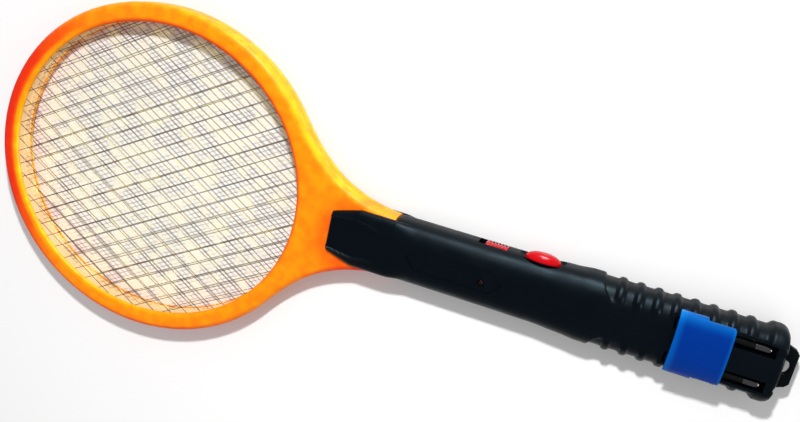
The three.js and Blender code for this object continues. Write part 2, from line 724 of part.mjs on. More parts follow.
function buildScrews() {
  SHELL_SCREWS.forEach(([x, y], index) => screw(`shell_screw_${index + 1}`, x, y));
  NECK_SCREWS.forEach(([x, y], index) => screw(`neck_screw_${index + 1}`, x, y));
}

const LEADS = {
  high_voltage_lead: {
    look: LEAD_RED,
    route: [
      [112.5, 0, 0], [124, 0.6, 0.6], [140, -0.8, 1],
      [158, 0, 0.8], [166, 1.6, 0.9], [171, 2.4, 1.2],
    ],
  },
  front_guard_lead: {
    look: LEAD_BLACK,
    route: [
      [112.5, 7.4, 4.2], [116, 4.4, 4], [126, 3, 3.2],
      [146, 2.6, 3.6], [160, 3, 4.2], [171, 4.4, 3.4],
    ],
  },
  rear_guard_lead: {
    look: LEAD_BLACK,
    route: [
      [112.5, -7.4, -4.2], [116, -4.4, -4], [126, -3, -3.4],
      [146, -2.6, -3], [160, -3, -3.6], [171, -4, -3.2],
    ],
  },
  cell_lead_positive: {
    look: LEAD_RED,
    route: [
      [270.6, -9, -3.6], [268, -6, -2.6], [264.5, -3, -2.8], [261, -1, -3.4], [258, 1, -2.4],
    ],
  },
  cell_lead_negative: {
    look: LEAD_BLACK,
    route: [
      [273.4, 9, -3.6], [270, 6, -3.4], [265, 4.6, -3.8], [261, 5, -3.4], [257, 6, -2.4],
    ],
  },
  plug_lead_left: {
    look: LEAD_RED,
    route: [
      [333, 9.5, 4.9], [318, 9, 4.9], [295, 7, 4.9],
      [276, 5, 4.9], [266, 4, 4], [260, 3.6, 1.2],
    ],
  },
  plug_lead_right: {
    look: LEAD_BLACK,
    route: [
      [333, -9.5, 4.9], [318, -9, 4.9], [295, -7, 4.9],
      [276, -5, 4.9], [266, -3.4, 4], [260, -1.6, 1.2],
    ],
  },
};

function buildLeads() {
  Object.entries(LEADS).forEach(([name, { look, route }]) => {
    add(name, tube(route, 0.6, route.length * 2 + 2, 5), look);
  });
}

// ---------------------------------------------------------------- assembly

buildFrame();
buildGrids();
buildShells();
buildHangLoop();
buildSwitch();
buildButton();
buildButtonSpring();
buildSlider();
buildPins();
buildCells();
buildBoard();
buildCircuit();
buildScrews();
buildLeads();

// The finished part stands on the middle of its underside.
const bounds = new THREE.Box3().setFromObject(swatter);
const middle = bounds.getCenter(new THREE.Vector3());
swatter.position.set(-middle.x, -middle.y, -bounds.min.z);
swatter.updateMatrixWorld(true);

export default swatter;
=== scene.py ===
import json
import math
import random

import bmesh
import bpy
from mathutils import Matrix, Vector


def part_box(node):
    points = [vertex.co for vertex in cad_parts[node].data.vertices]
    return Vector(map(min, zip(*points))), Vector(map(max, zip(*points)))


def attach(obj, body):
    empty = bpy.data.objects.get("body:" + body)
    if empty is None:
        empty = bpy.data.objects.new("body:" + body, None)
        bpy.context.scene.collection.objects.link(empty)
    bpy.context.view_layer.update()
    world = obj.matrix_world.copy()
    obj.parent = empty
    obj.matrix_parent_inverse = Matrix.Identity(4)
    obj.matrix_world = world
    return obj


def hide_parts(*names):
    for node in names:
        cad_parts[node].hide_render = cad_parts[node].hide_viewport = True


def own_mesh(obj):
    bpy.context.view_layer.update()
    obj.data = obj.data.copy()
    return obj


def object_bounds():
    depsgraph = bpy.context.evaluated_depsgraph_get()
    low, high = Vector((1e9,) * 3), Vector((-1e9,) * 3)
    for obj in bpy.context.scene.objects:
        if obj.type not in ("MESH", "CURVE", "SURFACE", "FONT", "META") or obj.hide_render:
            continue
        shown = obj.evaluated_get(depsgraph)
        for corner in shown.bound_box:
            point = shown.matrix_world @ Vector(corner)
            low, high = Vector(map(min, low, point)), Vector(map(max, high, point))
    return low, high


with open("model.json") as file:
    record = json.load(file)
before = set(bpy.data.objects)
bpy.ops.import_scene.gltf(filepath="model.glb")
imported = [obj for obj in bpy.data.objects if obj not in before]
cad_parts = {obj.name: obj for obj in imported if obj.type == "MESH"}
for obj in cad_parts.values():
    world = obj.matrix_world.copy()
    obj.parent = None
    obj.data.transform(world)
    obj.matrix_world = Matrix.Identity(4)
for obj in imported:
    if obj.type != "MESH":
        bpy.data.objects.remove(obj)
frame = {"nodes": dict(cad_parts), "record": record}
rest_low, rest_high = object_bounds()
record = frame["record"]
MM = 0.001

# The drawing frame: millimetres, X from the head to the loop, Z = 0 on the mid-plane.
_loop_low, _loop_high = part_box("hang_loop")
ORIGIN = Vector((_loop_high.x - 366 * MM, 0, (_loop_low.z + _loop_high.z) / 2))
FLOOR_Z = rest_low.z

# Centre and half axes of the oval opening of the head.
HEAD_X = -1.9
OPENING_A, OPENING_B = 94.2, 86.9

# Each half of the frame and of the handle stops this far from the mid-plane.
PARTING = 0.15


def place(x, y, z):
    return ORIGIN + Vector((x, y, z)) * MM


def smoothstep(a, b, value):
    t = min(1.0, max(0.0, (value - a) / (b - a)))
    return t * t * (3 - 2 * t)


def interpolate(table, x):
    """Smooth values along x from rows of (x, value, value...)."""
    if x <= table[0][0]:
        return table[0][1:]
    for row, after in zip(table, table[1:]):
        if x <= after[0]:
            t = smoothstep(row[0], after[0], x)
            return tuple(p + (q - p) * t for p, q in zip(row[1:], after[1:]))
    return table[-1][1:]


# ---------------------------------------------------------------- materials

def new_material(name, base, roughness=0.4, metallic=0.0, coat=0.0, specular=0.5, tint=(1, 1, 1)):
    """A Principled material; base is a linear colour. Returns (material, nodes, links, shader)."""
    material = bpy.data.materials.new(name)
    material.use_nodes = True
    nodes, links = material.node_tree.nodes, material.node_tree.links
    shader = nodes["Principled BSDF"]
    shader.inputs["Base Color"].default_value = (*base, 1)
    shader.inputs["Roughness"].default_value = roughness
    shader.inputs["Metallic"].default_value = metallic
    shader.inputs["Specular IOR Level"].default_value = specular
    shader.inputs["Specular Tint"].default_value = (*tint, 1)
    shader.inputs["Coat Weight"].default_value = coat
    shader.inputs["Coat Roughness"].default_value = 0.1
    return material, nodes, links, shader


def srgb(r, g, b):
    return tuple((c / 255) ** 2.2 for c in (r, g, b))


def object_noise(nodes, links, scale, detail=3.0):
    coordinates = nodes.new("ShaderNodeTexCoord")
    noise = nodes.new("ShaderNodeTexNoise")
    noise.inputs["Scale"].default_value = scale
    noise.inputs["Detail"].default_value = detail
    links.new(coordinates.outputs["Object"], noise.inputs["Vector"])
    return noise


def add_grain(nodes, links, shader, scale, strength, distance=0.00004):
    """Fine moulded grain as a bump."""
    noise = object_noise(nodes, links, scale, 4)
    bump = nodes.new("ShaderNodeBump")
    bump.inputs["Strength"].default_value = strength
    bump.inputs["Distance"].default_value = distance
    links.new(noise.outputs["Fac"], bump.inputs["Height"])
    links.new(bump.outputs["Normal"], shader.inputs["Normal"])


def map_range(nodes, links, value, before, after=(0, 1), smooth=False):
    """Maps a value socket from one range to another, and holds it at their ends."""
    node = nodes.new("ShaderNodeMapRange")
    if smooth:
        node.interpolation_type = "SMOOTHSTEP"
    node.inputs["From Min"].default_value, node.inputs["From Max"].default_value = before
    node.inputs["To Min"].default_value, node.inputs["To Max"].default_value = after
    links.new(value, node.inputs["Value"])
    return node.outputs["Result"]


def vector_math(nodes, links, operation, vector, *constants):
    """A vector operation on a socket and constants; its result is a vector or a single value."""
    node = nodes.new("ShaderNodeVectorMath")
    node.operation = operation
    links.new(vector, node.inputs[0])
    for index, constant in enumerate(constants, start=1):
        node.inputs[index].default_value = constant
    return node.outputs["Value" if operation in ("DOT_PRODUCT", "LENGTH") else "Vector"]


def combine(nodes, links, operation, value, other):
    node = nodes.new("ShaderNodeMath")
    node.operation = operation
    links.new(value, node.inputs[0])
    links.new(other, node.inputs[1])
    return node.outputs["Value"]


def set_ramp(ramp, stops):
    """Fills a fresh colour ramp with rows of (position, linear colour)."""
    elements = ramp.color_ramp.elements
    for element, (position, color) in zip((elements[0], elements[1]), (stops[0], stops[-1])):
        element.position = position
        element.color = (*color, 1)
    for position, color in stops[1:-1]:
        elements.new(position).color = (*color, 1)


def vary_roughness(nodes, links, shader, scale, low, high):
    noise = object_noise(nodes, links, scale, 2)
    spread = map_range(nodes, links, noise.outputs["Fac"], (0.3, 0.7), (low, high))
    links.new(spread, shader.inputs["Roughness"])


def vary_color(nodes, links, shader, scale, dark, light):
    noise = object_noise(nodes, links, scale, 3)
    mix = nodes.new("ShaderNodeMix")
    mix.data_type = "RGBA"
    mix.inputs["A"].default_value = (*dark, 1)
    mix.inputs["B"].default_value = (*light, 1)
    links.new(noise.outputs["Fac"], mix.inputs["Factor"])
    links.new(mix.outputs["Result"], shader.inputs["Base Color"])
    return mix


def moulded(name, color, roughness, grain=0.12, drift=0.12, coat=0.0, specular=0.5, tint=(1, 1, 1)):
    """Moulded plastic: fine grain, uneven gloss and a slight drift of colour."""
    material, nodes, links, shader = new_material(name, color, roughness, 0, coat, specular, tint)
    darker = tuple(c * (1 - drift) for c in color)
    lighter = tuple(min(1, c * (1 + drift)) for c in color)
    vary_color(nodes, links, shader, 60, darker, lighter)
    vary_roughness(nodes, links, shader, 90, roughness - 0.06, roughness + 0.06)
    add_grain(nodes, links, shader, 2200, grain)
    return material


def metal(name, color, roughness, spread=0.08, grain=0.08):
    material, nodes, links, shader = new_material(name, color, roughness, metallic=1)
    vary_color(nodes, links, shader, 400, tuple(c * 0.85 for c in color), color)
    vary_roughness(nodes, links, shader, 300, roughness - spread, roughness + spread)
    add_grain(nodes, links, shader, 1500, grain)
    return material


def patchy_wire(name, dark, light, scale):
    """Drawn wire, tarnished in patches."""
    material, nodes, links, shader = new_material(name, dark, 0.5, metallic=0.2, specular=0.3)
    mix = vary_color(nodes, links, shader, scale, dark, light)
    noise = mix.inputs["Factor"].links[0].from_node
    patches = map_range(nodes, links, noise.outputs["Fac"], (0.44, 0.56))
    links.new(patches, mix.inputs["Factor"])
    vary_roughness(nodes, links, shader, 300, 0.4, 0.6)
    return material


def frame_orange():
    """Translucent orange with painted light and shade: yellow where it faces the light, red at the far end
    of the head and darker beside the tongue.
    """
    material, nodes, links, shader = new_material("frame_orange", srgb(255, 150, 0), 0.38, specular=0.16)
    position = nodes.new("ShaderNodeTexCoord").outputs["Object"]
    normal = nodes.new("ShaderNodeNewGeometry").outputs["Normal"]

    def distance_shade(center, near, far, amount):
        """A value that falls from amount to 0 between two distances from a point in plan."""
        offset = vector_math(nodes, links, "SUBTRACT", position, center)
        flat = vector_math(nodes, links, "MULTIPLY", offset, (1, 1, 0))
        distance = vector_math(nodes, links, "LENGTH", flat)
        return map_range(nodes, links, distance, (near, far), (amount, 0), smooth=True)

    # Painted light and shade: the colour runs from red to yellow as the surface turns toward the light.
    toward_light = Vector((0.62, 0.76, 0.12)).normalized()
    facing = vector_math(nodes, links, "DOT_PRODUCT", normal, toward_light)
    painted_light = map_range(nodes, links, facing, (-1, 1))
    # The distance from the head's centre, which is 1 all along the edge of the opening.
    squeeze = Vector((1 / OPENING_A, 1 / OPENING_B, 0)) / MM
    from_center = vector_math(
        nodes, links, "MULTIPLY_ADD", position, squeeze, -place(HEAD_X, 0, 0) * squeeze)
    radius = vector_math(nodes, links, "LENGTH", from_center)
    outward = map_range(nodes, links, radius, (1.005, 1.055), (-0.35, 1), smooth=True)
    # Painted shade: toward the far end of the head the outer part turns red, and the edge of the opening
    # turns a little yellower.
    far_end_shade = distance_shade(place(-118, 8, 0), 0.04, 0.11, 0.36)
    # Painted shade: the orange darkens around the root of the tongue, where the two parts meet.
    tongue_shade = distance_shade(place(132, -3, 0), 0.016, 0.034, 0.13)
    painted_light = combine(nodes, links, "SUBTRACT", painted_light, combine(nodes, links, "MULTIPLY", far_end_shade, outward))
    painted_light = combine(nodes, links, "SUBTRACT", painted_light, tongue_shade)
    red_to_yellow = nodes.new("ShaderNodeValToRGB")
    set_ramp(red_to_yellow, [
        (0.0, srgb(214, 22, 0)), (0.20, srgb(238, 52, 0)), (0.40, srgb(246, 100, 0)),
        (0.56, srgb(250, 150, 0)), (0.78, srgb(250, 166, 0)), (0.97, srgb(252, 206, 0)),
    ])
    links.new(painted_light, red_to_yellow.inputs["Fac"])
    patches = nodes.new("ShaderNodeValToRGB")
    set_ramp(patches, [(0.38, (0.97, 0.74, 0.6)), (0.6, (1, 1, 1))])
    links.new(object_noise(nodes, links, 140, 5).outputs["Fac"], patches.inputs["Fac"])
    mottle = nodes.new("ShaderNodeMix")
    mottle.data_type = "RGBA"
    mottle.blend_type = "MULTIPLY"
    mottle.inputs["Factor"].default_value = 1
    links.new(red_to_yellow.outputs["Color"], mottle.inputs["A"])
    links.new(patches.outputs["Color"], mottle.inputs["B"])
    links.new(mottle.outputs["Result"], shader.inputs["Base Color"])
    shader.inputs["Subsurface Weight"].default_value = 0.12
    shader.inputs["Subsurface Radius"].default_value = (0.004, 0.0015, 0.0003)
    shader.inputs["Subsurface Scale"].default_value = 1.0
    vary_roughness(nodes, links, shader, 80, 0.33, 0.47)
    add_grain(nodes, links, shader, 1800, 0.15)
    return material


def slider_blue():
    """Blue with painted highlights: it pales toward both ends and the shoulder on the switch side."""
    material, nodes, links, shader = new_material(
        "slider_blue", srgb(0, 52, 138), 0.34, specular=0.4, tint=(0.08, 0.5, 1))
    coordinates = nodes.new("ShaderNodeTexCoord")
    split = nodes.new("ShaderNodeSeparateXYZ")
    links.new(coordinates.outputs["Object"], split.inputs["Vector"])

    def band(axis, start, end, amount):
        return map_range(nodes, links, split.outputs[axis], (start, end), (0, amount), smooth=True)

    # Painted highlights: lighter blue bands along both ends and along the shoulder. They replace the noise
    # as the mix factor.
    near_edge_highlight = band("X", place(309.5, 0, 0).x, place(305.8, 0, 0).x, 0.32)
    far_edge_highlight = band("X", place(330.6, 0, 0).x, place(332.2, 0, 0).x, 0.3)
    shoulder = band("Y", place(0, 9.5, 0).y, place(0, 16.5, 0).y, 0.42)
    painted_highlight = combine(nodes, links, "ADD", combine(nodes, links, "ADD", near_edge_highlight, far_edge_highlight), shoulder)
    mix = vary_color(nodes, links, shader, 60, srgb(0, 47, 134), srgb(4, 122, 214))
    links.new(painted_highlight, mix.inputs["Factor"])
    vary_roughness(nodes, links, shader, 90, 0.28, 0.4)
    add_grain(nodes, links, shader, 2200, 0.05)
    return material


ORANGE = frame_orange()
BLUE = slider_blue()
COOL = (0.6, 0.85, 1.0)
PINK = (1, 0.35, 0.45)
BLACK = moulded(
    "handle_black", (0.0002, 0.0011, 0.0028), 0.4, grain=0.18, drift=0.2, specular=0.11, tint=COOL)
LOOP_BLACK = moulded("loop_black", (0.0003, 0.0008, 0.0014), 0.42, grain=0.2, specular=0.1, tint=COOL)
RED = moulded("button_red", srgb(196, 8, 20), 0.26, grain=0.05, coat=0.15, specular=0.3, tint=PINK)
CREAM = moulded("spacer_cream", srgb(250, 206, 156), 0.55, specular=0.2)
GUARD_WIRE = patchy_wire("guard_wire", srgb(34, 26, 18), srgb(104, 86, 62), 55)
CENTRE_WIRE = patchy_wire("centre_wire", srgb(120, 96, 62), srgb(254, 236, 150), 75)
# The pin nickel is much darker than the real metal: painted shade standing in for the black channel that
# the pins reflect.
NICKEL = metal("pin_nickel", srgb(84, 84, 88), 0.2, spread=0.03, grain=0)
SLEEVE = moulded("sleeve_black", (0.0004, 0.0008, 0.0012), 0.4, specular=0.1)
BRASS = metal("contact_brass", srgb(196, 158, 80), 0.3)
STEEL = metal("screw_steel", srgb(172, 175, 178), 0.3)
LENS = moulded("lamp_lens", srgb(26, 4, 8), 0.3, grain=0.02, specular=0.12)
INNER = {
    "cell": moulded("cell_sleeve", srgb(58, 142, 92), 0.35),
    "tie_plate": metal("tie_nickel", srgb(206, 206, 208), 0.25),
    "board": moulded("board_tan", srgb(184, 138, 74), 0.6),
    "ferrite": moulded("ferrite_grey", srgb(44, 46, 50), 0.6),
    "winding": metal("winding_copper", srgb(190, 112, 60), 0.35),
    "dark_component": moulded("component_black", srgb(34, 35, 38), 0.5),
    "capacitor_case": moulded("capacitor_yellow", srgb(216, 178, 60), 0.35),
    "capacitor_brown": moulded("capacitor_brown", srgb(140, 72, 36), 0.3),
    "resistor_body": moulded("resistor_cream", srgb(226, 214, 182), 0.5),
    "switch_can": metal("switch_can", srgb(160, 164, 168), 0.32),
    "plunger": moulded("plunger_yellow", srgb(216, 178, 60), 0.45),
    "spring_steel": STEEL,
    "contact_metal": BRASS,
    "screw_steel": STEEL,
    "lens_red": LENS,
    "lead_red": moulded("lead_red", srgb(180, 30, 38), 0.45),
    "lead_black": moulded("lead_black", (0.01, 0.01, 0.011), 0.45),
}


# ---------------------------------------------------------------- meshes

def make_object(name, points, faces, material, sharp=35.0):
    """A smooth-shaded mesh object from points in the drawing frame."""
    mesh = bpy.data.meshes.new(name)
    mesh.from_pydata([place(*p) for p in points], [], faces)
    piece = bpy.data.objects.new(name, mesh)
    bpy.context.scene.collection.objects.link(piece)
    if material is not None:
        mesh.materials.append(material)
    finish_mesh(piece, sharp)
    return piece


def finish_mesh(piece, sharp=35.0):
    mesh = piece.data
    work = bmesh.new()
    work.from_mesh(mesh)
    bmesh.ops.remove_doubles(work, verts=work.verts, dist=1e-7)
    bmesh.ops.recalc_face_normals(work, faces=work.faces)
    work.to_mesh(mesh)
    work.free()
    mesh.polygons.foreach_set("use_smooth", [True] * len(mesh.polygons))
    mesh.set_sharp_from_angle(angle=math.radians(sharp))
    mesh.update()


def loft(loops, wrap=False, caps=True):
    """Points and faces of a tube through loops of equal length; wrap joins the last to the first."""
    count = len(loops[0])
    points = [p for ring in loops for p in ring]
    faces = []
    spans = len(loops) if wrap else len(loops) - 1
    for i in range(spans):
        j = (i + 1) % len(loops)
        for k in range(count):
            m = (k + 1) % count
            faces.append((i * count + k, i * count + m, j * count + m, j * count + k))
    if caps and not wrap:
        faces.append(tuple(range(count - 1, -1, -1)))
        faces.append(tuple((len(loops) - 1) * count + k for k in range(count)))
    return points, faces


def joined(parts):
    """One list of points and faces from several."""
    points, faces = [], []
    for part_points, part_faces in parts:
        shift = len(points)
        points += part_points
        faces += [tuple(i + shift for i in face) for face in part_faces]
    return points, faces


def block(x0, x1, y0, y1, z0, z1):
    points = [(x, y, z) for x in (x0, x1) for y in (y0, y1) for z in (z0, z1)]
    faces = [(0, 1, 3, 2), (4, 6, 7, 5), (0, 4, 5, 1), (2, 3, 7, 6), (0, 2, 6, 4), (1, 5, 7, 3)]
    return points, faces


def prism(outline, z0, z1):
    """A plan outline raised from z0 to z1."""
    return loft([[(x, y, z) for x, y in outline] for z in (z0, z1)])


def lathe(axis, center, profile, sides=32):
    """A turned solid; profile rows are (along, radius), first and last on or near the axis."""
    loops = []
    for along, radius in profile:
        ring = []
        for k in range(sides):
            angle = 2 * math.pi * k / sides
            u, v = radius * math.cos(angle), radius * math.sin(angle)
            offset = {"x": (along, u, v), "y": (v, along, u), "z": (u, v, along)}[axis]
            ring.append(tuple(c + o for c, o in zip(center, offset)))
        loops.append(ring)
    return loft(loops)


def cut(piece, tool, operation="DIFFERENCE"):
    """Joins or cuts piece with a closed tool mesh, which is then removed."""
    modifier = piece.modifiers.new("cut", "BOOLEAN")
    modifier.operation = operation
    modifier.solver = "EXACT"
    modifier.object = tool
    depsgraph = bpy.context.evaluated_depsgraph_get()
    result = bpy.data.meshes.new_from_object(piece.evaluated_get(depsgraph))
    piece.modifiers.clear()
    old, piece.data = piece.data, result
    bpy.data.meshes.remove(old)
    tool_mesh = tool.data
    bpy.data.objects.remove(tool)
    bpy.data.meshes.remove(tool_mesh)


def tool_object(points_faces):
    return make_object("tool", *points_faces, None)


def bevel_edges(piece, width, segments=3, angle=30.0):
    work = bmesh.new()
    work.from_mesh(piece.data)
    sharp = math.radians(angle)
    edges = [e for e in work.edges if len(e.link_faces) == 2 and e.calc_face_angle(0) > sharp]
    bmesh.ops.bevel(work, geom=edges, offset=width * MM, segments=segments, profile=0.5,
                    affect="EDGES", clamp_overlap=True)
    work.to_mesh(piece.data)
    work.free()
    finish_mesh(piece)


def shown(piece, body, slot, *nodes):
    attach(piece, body)
    if nodes:
        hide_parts(*nodes)
    return piece


# ---------------------------------------------------------------- head frame

RING_WIDTH = 11.0
HALF_DEPTH = 8.0
NECK_END_X, NECK_HALF = 150.5, 17.2
RIM_POCKET, LIP_Z = 3.7, 5.6


def bezier(p0, p1, p2, p3, t):
    s = 1 - t
    return tuple(s ** 3 * a + 3 * s * s * t * b + 3 * s * t * t * c + t ** 3 * d
                 for a, b, c, d in zip(p0, p1, p2, p3))


def frame_outline():
    """Closed outline of the ring and neck, with the angle on the opening that faces each point."""
    a, b = OPENING_A + RING_WIDTH, OPENING_B + RING_WIDTH
    leave_x = 83
    leave = math.acos((leave_x - HEAD_X) / a)
    leave_y = b * math.sin(leave)
    flare, neck = (leave_x + 12.5, leave_y - 16), (NECK_END_X - 38, NECK_HALF + 2.5)
    start = 0.16
    side_steps, ring_steps, end_steps = 48, 240, 12

    def side(t):
        x, y = bezier((NECK_END_X, NECK_HALF), neck, flare, (leave_x, leave_y), t)
        return x, y, start + (leave - start) * t

    rows = [side(k / side_steps) for k in range(side_steps)]
    for k in range(ring_steps + 1):
        angle = leave + (2 * math.pi - 2 * leave) * k / ring_steps
        rows.append((HEAD_X + a * math.cos(angle), b * math.sin(angle), angle))
    for k in range(1, side_steps + 1):
        x, y, angle = side(1 - k / side_steps)
        rows.append((x, -y, 2 * math.pi - angle))
    for k in range(1, end_steps):
        t = k / end_steps
        rows.append((NECK_END_X, -NECK_HALF + 2 * NECK_HALF * t, start * (2 * t - 1)))
    return rows


def inward_normals(rows):
    """Unit normals of the outline. Across the end of the neck they close on its middle line."""
    count = len(rows)
    normals = []
    for k in range(count):
        before, after = rows[k - 1], rows[(k + 1) % count]
        dx, dy = after[0] - before[0], after[1] - before[1]
        length = math.hypot(dx, dy) or 1
        x, y, _ = rows[k]
        at_end = x > NECK_END_X - 1e-6
        normals.append((0, -y / NECK_HALF) if at_end else (-dy / length, dx / length))
    return normals


def frame_half(name, side):
    """Half of the frame: rounded outer wall, softly crowned face, rounded lip and rim pocket."""
    rows = frame_outline()
    normals = inward_normals(rows)

    def outer(offset, z):
        return [(x + nx * offset, y + ny * offset, side * z)
                for (x, y, _), (nx, ny) in zip(rows, normals)]

    def inner(offset, z):
        a, b = OPENING_A + offset, OPENING_B + offset
        return [(HEAD_X + a * math.cos(t), b * math.sin(t), side * z) for _, _, t in rows]

    outer_round, inner_round, inner_drop, round_steps = 3.6, 2.8, 2.0, 8
    quarter = [math.pi / 2 * step / round_steps for step in range(round_steps + 1)]
    loops = [outer(0, PARTING), outer(0, HALF_DEPTH - outer_round - 0.8)]
    for angle in quarter:
        fall = outer_round * (1 - math.sin(angle)) + 0.12 * math.cos(angle)
        loops.append(outer(outer_round * (1 - math.cos(angle)), HALF_DEPTH - fall))
    for angle in quarter:
        fall = inner_drop * (1 - math.cos(angle))
        loops.append(inner(inner_round * (1 - math.sin(angle)), HALF_DEPTH - fall))
    loops += [inner(0.05, LIP_Z), inner(RIM_POCKET, LIP_Z), inner(RIM_POCKET, PARTING)]
    points, faces = loft(loops, wrap=True)
    spigot = block(NECK_END_X - 6, 169, -12.9, 12.9, *sorted((side * PARTING, side * 7.6)))
    piece = make_object(name, *joined([(points, faces), spigot]), ORANGE, sharp=40)
    return shown(piece, "handle", "frame", name.replace("frame_half_", "") + "_frame")


frame_half("frame_half_front", 1)
frame_half("frame_half_rear", -1)


# ---------------------------------------------------------------- grids

WIRE_ANGLE = math.radians(30)


def wire_tube(start, end, radius, sides, rng, lift=0.0):
    """A slightly wavy round wire between two points."""
    a, b = Vector(start), Vector(end)
    along = (b - a).normalized()
    side = Vector((-along.y, along.x, 0))
    up = Vector((0, 0, 1))
    steps = max(3, int((b - a).length / 9))
    phase, sway = rng.uniform(0, 6.28), rng.uniform(0.03, 0.12)
    loops = []
    for k in range(steps + 1):
        t = k / steps
        fade = math.sin(math.pi * t)
        center = a.lerp(b, t) + side * (sway * fade * math.sin(phase + 9 * t)) + up * (lift * fade)
        loops.append([tuple(center + side * (radius * math.cos(2 * math.pi * m / sides))
                            + up * (radius * math.sin(2 * math.pi * m / sides))) for m in range(sides)])
    return loft(loops)


def lattice(angle, z, pitch, radius, sides, rng):
    """Parallel wires at one angle, each ending inside the grid's oval rim."""
    into_rim, shortest = 1.6, 5
    reach_a, reach_b = OPENING_A + into_rim, OPENING_B + into_rim
    ux, uy = math.cos(angle), math.sin(angle)
    parts = []
    count = math.ceil(OPENING_A / pitch)
    for row in range(-count, count + 1):
        distance = (row + 0.5) * pitch + rng.uniform(-0.05, 0.05) * pitch
        fx, fy = -uy * distance, ux * distance
        # Distances along the wire where it meets the oval are the roots of p t^2 + 2 q t + r = 0.
        p = (ux / reach_a) ** 2 + (uy / reach_b) ** 2
        q = ux * fx / reach_a ** 2 + uy * fy / reach_b ** 2
        r = (fx / reach_a) ** 2 + (fy / reach_b) ** 2 - 1
        inside_root = q * q - p * r
        if inside_root <= 0 or math.sqrt(inside_root) / p < shortest:
            continue
        root = math.sqrt(inside_root)
        low, high = (-q - root) / p, (-q + root) / p
        start = (HEAD_X + fx + ux * low, fy + uy * low, z)
        end = (HEAD_X + fx + ux * high, fy + uy * high, z)
        parts.append(wire_tube(start, end, radius, sides, rng, rng.uniform(-0.08, 0.08)))
    return parts


def ring_band(inner, outer, z0, z1, bevel=0.12, steps=180):
    """A flat ring of oval outline with softened edges, offsets measured from the opening."""
    turns = [2 * math.pi * k / steps for k in range(steps)]

    def around(offset, z):
        a, b = OPENING_A + offset, OPENING_B + offset
        return [(HEAD_X + a * math.cos(turn), b * math.sin(turn), z) for turn in turns]

    loops = [
        around(inner, z0 + bevel), around(inner, z1 - bevel), around(inner + bevel, z1),
        around(outer - bevel, z1), around(outer, z1 - bevel), around(outer, z0 + bevel),
        around(outer - bevel, z0), around(inner + bevel, z0),
    ]
    return loft(loops, wrap=True)


def grid(name, z, tab_y, seed, pitch, radius, sides, material):
    """A cream rim with a tab toward the handle, and two layers of crossing wires."""
    rng = random.Random(seed)
    parts = [ring_band(0.6, 3.4, z - 0.6, z + 0.6)]
    parts.append(block(93.6, 109.5, tab_y - 2, tab_y + 2, z - 0.4, z + 0.4))
    rim_faces = sum(len(part_faces) for _, part_faces in parts)
    parts += lattice(WIRE_ANGLE, z + radius, pitch, radius, sides, rng)
    parts += lattice(-WIRE_ANGLE, z - radius, pitch, radius, sides, rng)
    piece = make_object("wires_" + name, *joined(parts), material, sharp=50)
    piece.visible_shadow = False
    piece.data.materials.append(CREAM)
    for polygon in piece.data.polygons[:rim_faces]:
        polygon.material_index = 1
    return shown(piece, "handle", "grid_wire", name)


GUARD = {"pitch": 8, "radius": 0.2, "sides": 8, "material": GUARD_WIRE}
CENTRE = {"pitch": 8 / 3, "radius": 0.14, "sides": 6, "material": CENTRE_WIRE}
grid("front_guard_grid", 4.7, 7.5, 11, **GUARD)
grid("centre_grid", 0, 0, 12, **CENTRE)
grid("rear_guard_grid", -4.7, -7.5, 13, **GUARD)

for side_name, z0, z1 in (("front", 0.9, 3.8), ("rear", -3.8, -0.9)):
    band = make_object("spacer_" + side_name, *ring_band(0.9, 3.4, z0, z1, 0.25), CREAM)
    shown(band, "handle", "spacer", side_name + "_spacer_ring")


# ---------------------------------------------------------------- handle shells

HANDLE_START, HANDLE_END = 151.3, 358.0
POWER = 2.6
SWELL = [
    (151.3, 17.3, 13.4), (154, 17.5, 13.8), (205, 17.5, 14.0), (235, 17.7, 14.0), (250, 18.6, 14.5),
    (260, 19.5, 15.1), (264, 19.5, 15.2), (272, 19.3, 15.0), (284, 19.0, 14.4), (290, 18.8, 14.1),
]
FOOT_W, FOOT_H = 18.2, 14.1
RIB_FIRST, RIB_PITCH, RIB_COUNT, RIB_HEIGHT = 275.0, 9.3, 8, 1.35
REST_Z = -13.4

# The grip begins at a step that sweeps back as it climbs over the front.
STEP_X, STEP_SWEEP, STEP_POWER = 265.2, 0.327, 1.41
# The end wall rounds over from here: a wide round in plan and a small one in depth.
END_ROUND_X, END_ROUND = 353.6, 4.55
BRIM_ROUND_X, BRIM_ROUND = 356.6, 1.5


def superellipse(w, h, angle, power=POWER):
    c, s = math.cos(angle), math.sin(angle)
    return (w * math.copysign(abs(c) ** (2 / power), c), h * math.copysign(abs(s) ** (2 / power), s))


def rib_height(x):
    """Height of the ribs above the foot at x, and of the bead at the end."""
    total = 0.0
    for rib in range(RIB_COUNT):
        center = RIB_FIRST + rib * RIB_PITCH
        total += math.exp(-((x - center) / 2.0) ** 4)
    bead = 2.1 * smoothstep(347.2, 350.6, x)
    return RIB_HEIGHT * min(1, total) * (1 - smoothstep(346, 348, x)) + bead


def round_over(x, start, radius):
    """How far a quarter round has dropped at x, from 0 at its start towards 1."""
    return 1 - math.sqrt(max(0.0, 1 - (max(0.0, x - start) / radius) ** 2))


def handle_point(x, angle):
    """Point of the outer surface at station x: a plain body, then a grip with ribs along its sides."""
    swell_w, swell_h = interpolate(SWELL, x)
    sideways = abs(superellipse(FOOT_W, FOOT_H, angle)[0])
    shoulder = smoothstep(8.6, 12.4, sideways)
    step_x = STEP_X + STEP_SWEEP * max(0.0, 17.5 - max(7.4, sideways)) ** STEP_POWER
    on_grip = smoothstep(step_x, step_x + 0.7, x) * shoulder
    on_grip += smoothstep(268, 290, x) * (1 - shoulder)
    lift = rib_height(x) * shoulder
    end = round_over(x, END_ROUND_X, END_ROUND)
    brim = round_over(x, BRIM_ROUND_X, BRIM_ROUND)
    w = swell_w + (FOOT_W + lift - swell_w) * on_grip - 3.6 * end
    h = swell_h + (FOOT_H + 0.7 * lift - swell_h) * on_grip - 1.4 * brim
    y, z = superellipse(w, h, angle)
    return y, max(z, REST_Z)


